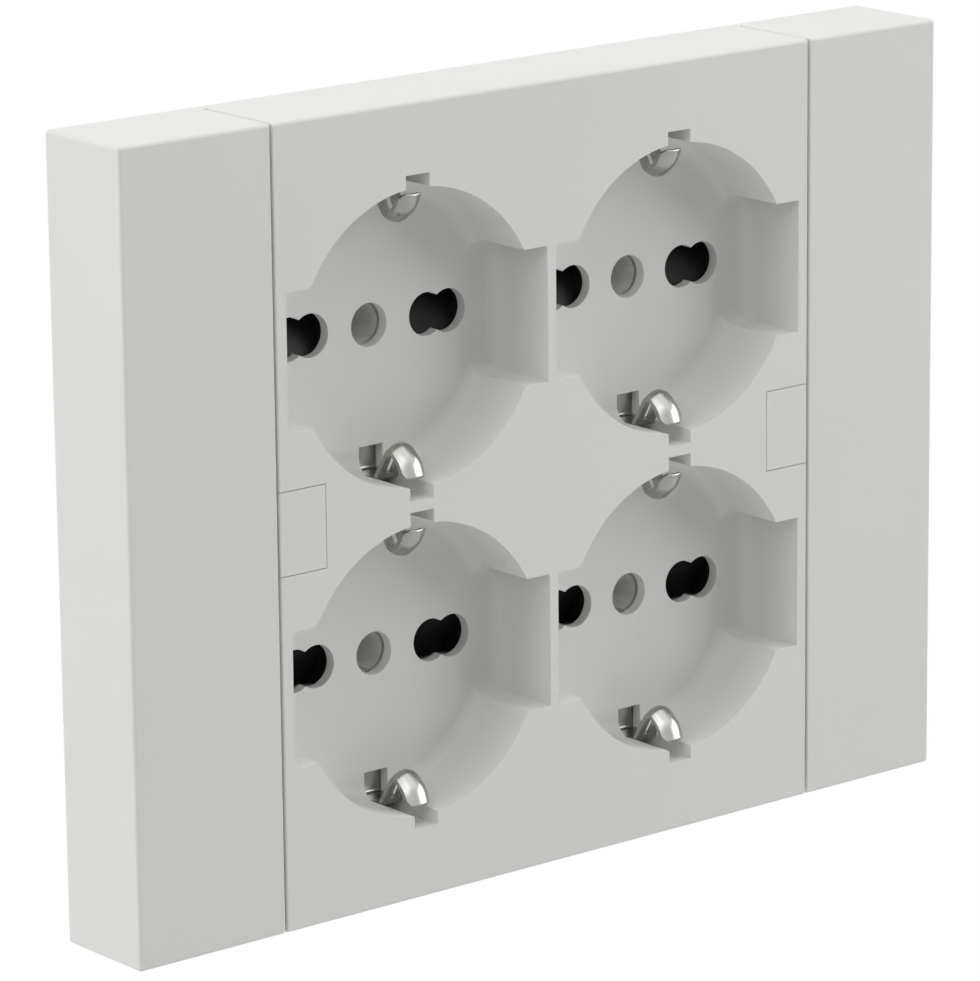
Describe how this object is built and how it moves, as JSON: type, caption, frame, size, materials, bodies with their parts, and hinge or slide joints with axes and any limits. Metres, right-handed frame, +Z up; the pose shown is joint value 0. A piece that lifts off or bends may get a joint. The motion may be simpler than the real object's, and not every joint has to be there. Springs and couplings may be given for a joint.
{
  "type": "quad wall socket",
  "caption": "Thick rectangular wall plate with round earthed plug recesses in a square layout, in-line pin holes, side covers and a rear body for a flush box.",
  "frame": {"origin": "midway between the two box screws, in the wall plane", "axes": "+X right as seen from the room, +Y into the wall, +Z up"},
  "size_m": [0.136, 0.0396, 0.105],
  "materials": {
    "white_moulding": "satin white",
    "grey_moulding": "satin light grey",
    "black_moulding": "satin black",
    "nickel_plate": "bright nickel plate",
    "contact_brass": "bare stamped brass",
    "spring_steel": "bright spring wire",
    "zinc_steel": "zinc plated"
  },
  "bodies": {
    "wall_unit": {"socket_front": "white_moulding", "side_cover_left": "white_moulding", "side_cover_right": "white_moulding", "screw_cap_left": "white_moulding", "screw_cap_right": "white_moulding", "mounting_frame": "white_moulding", "contact_block": "grey_moulding", "rear_cover": "grey_moulding", "earth_strap_upper_left": "nickel_plate", "earth_sleeve_upper_left": "nickel_plate", "shutter_spring_upper_left": "spring_steel", "line_contact_upper_left": "contact_brass", "neutral_contact_upper_left": "contact_brass", "earth_strap_upper_right": "nickel_plate", "earth_sleeve_upper_right": "nickel_plate", "shutter_spring_upper_right": "spring_steel", "line_contact_upper_right": "contact_brass", "neutral_contact_upper_right": "contact_brass", "earth_strap_lower_left": "nickel_plate", "earth_sleeve_lower_left": "nickel_plate", "shutter_spring_lower_left": "spring_steel", "line_contact_lower_left": "contact_brass", "neutral_contact_lower_left": "contact_brass", "earth_strap_lower_right": "nickel_plate", "earth_sleeve_lower_right": "nickel_plate", "shutter_spring_lower_right": "spring_steel", "line_contact_lower_right": "contact_brass", "neutral_contact_lower_right": "contact_brass", "line_bar": "contact_brass", "neutral_bar": "contact_brass", "earth_bar": "contact_brass", "line_terminal": "contact_brass", "neutral_terminal": "contact_brass", "earth_terminal": "contact_brass", "terminal_screws": "zinc_steel", "housing_screws": "zinc_steel", "box_screw_left": "zinc_steel", "box_screw_right": "zinc_steel"},
    "shutter_upper_left": {"shutter_upper_left": "black_moulding"},
    "shutter_upper_right": {"shutter_upper_right": "black_moulding"},
    "shutter_lower_left": {"shutter_lower_left": "black_moulding"},
    "shutter_lower_right": {"shutter_lower_right": "black_moulding"}
  },
  "joints": [
    {"name": "shutter_slide_upper_left", "type": "slide", "parent": "wall_unit", "child": "shutter_upper_left", "axis": [0, 0, -1], "range_m": [0, 0.0068], "stiffness_N_per_m": 100, "springref_m": -0.003, "deforming": ["shutter_spring_upper_left"]},
    {"name": "shutter_slide_upper_right", "type": "slide", "parent": "wall_unit", "child": "shutter_upper_right", "axis": [0, 0, -1], "range_m": [0, 0.0068], "stiffness_N_per_m": 100, "springref_m": -0.003, "deforming": ["shutter_spring_upper_right"]},
    {"name": "shutter_slide_lower_left", "type": "slide", "parent": "wall_unit", "child": "shutter_lower_left", "axis": [0, 0, 1], "range_m": [0, 0.0068], "stiffness_N_per_m": 100, "springref_m": -0.003, "deforming": ["shutter_spring_lower_left"]},
    {"name": "shutter_slide_lower_right", "type": "slide", "parent": "wall_unit", "child": "shutter_lower_right", "axis": [0, 0, 1], "range_m": [0, 0.0068], "stiffness_N_per_m": 100, "springref_m": -0.003, "deforming": ["shutter_spring_lower_right"]}
  ]
}
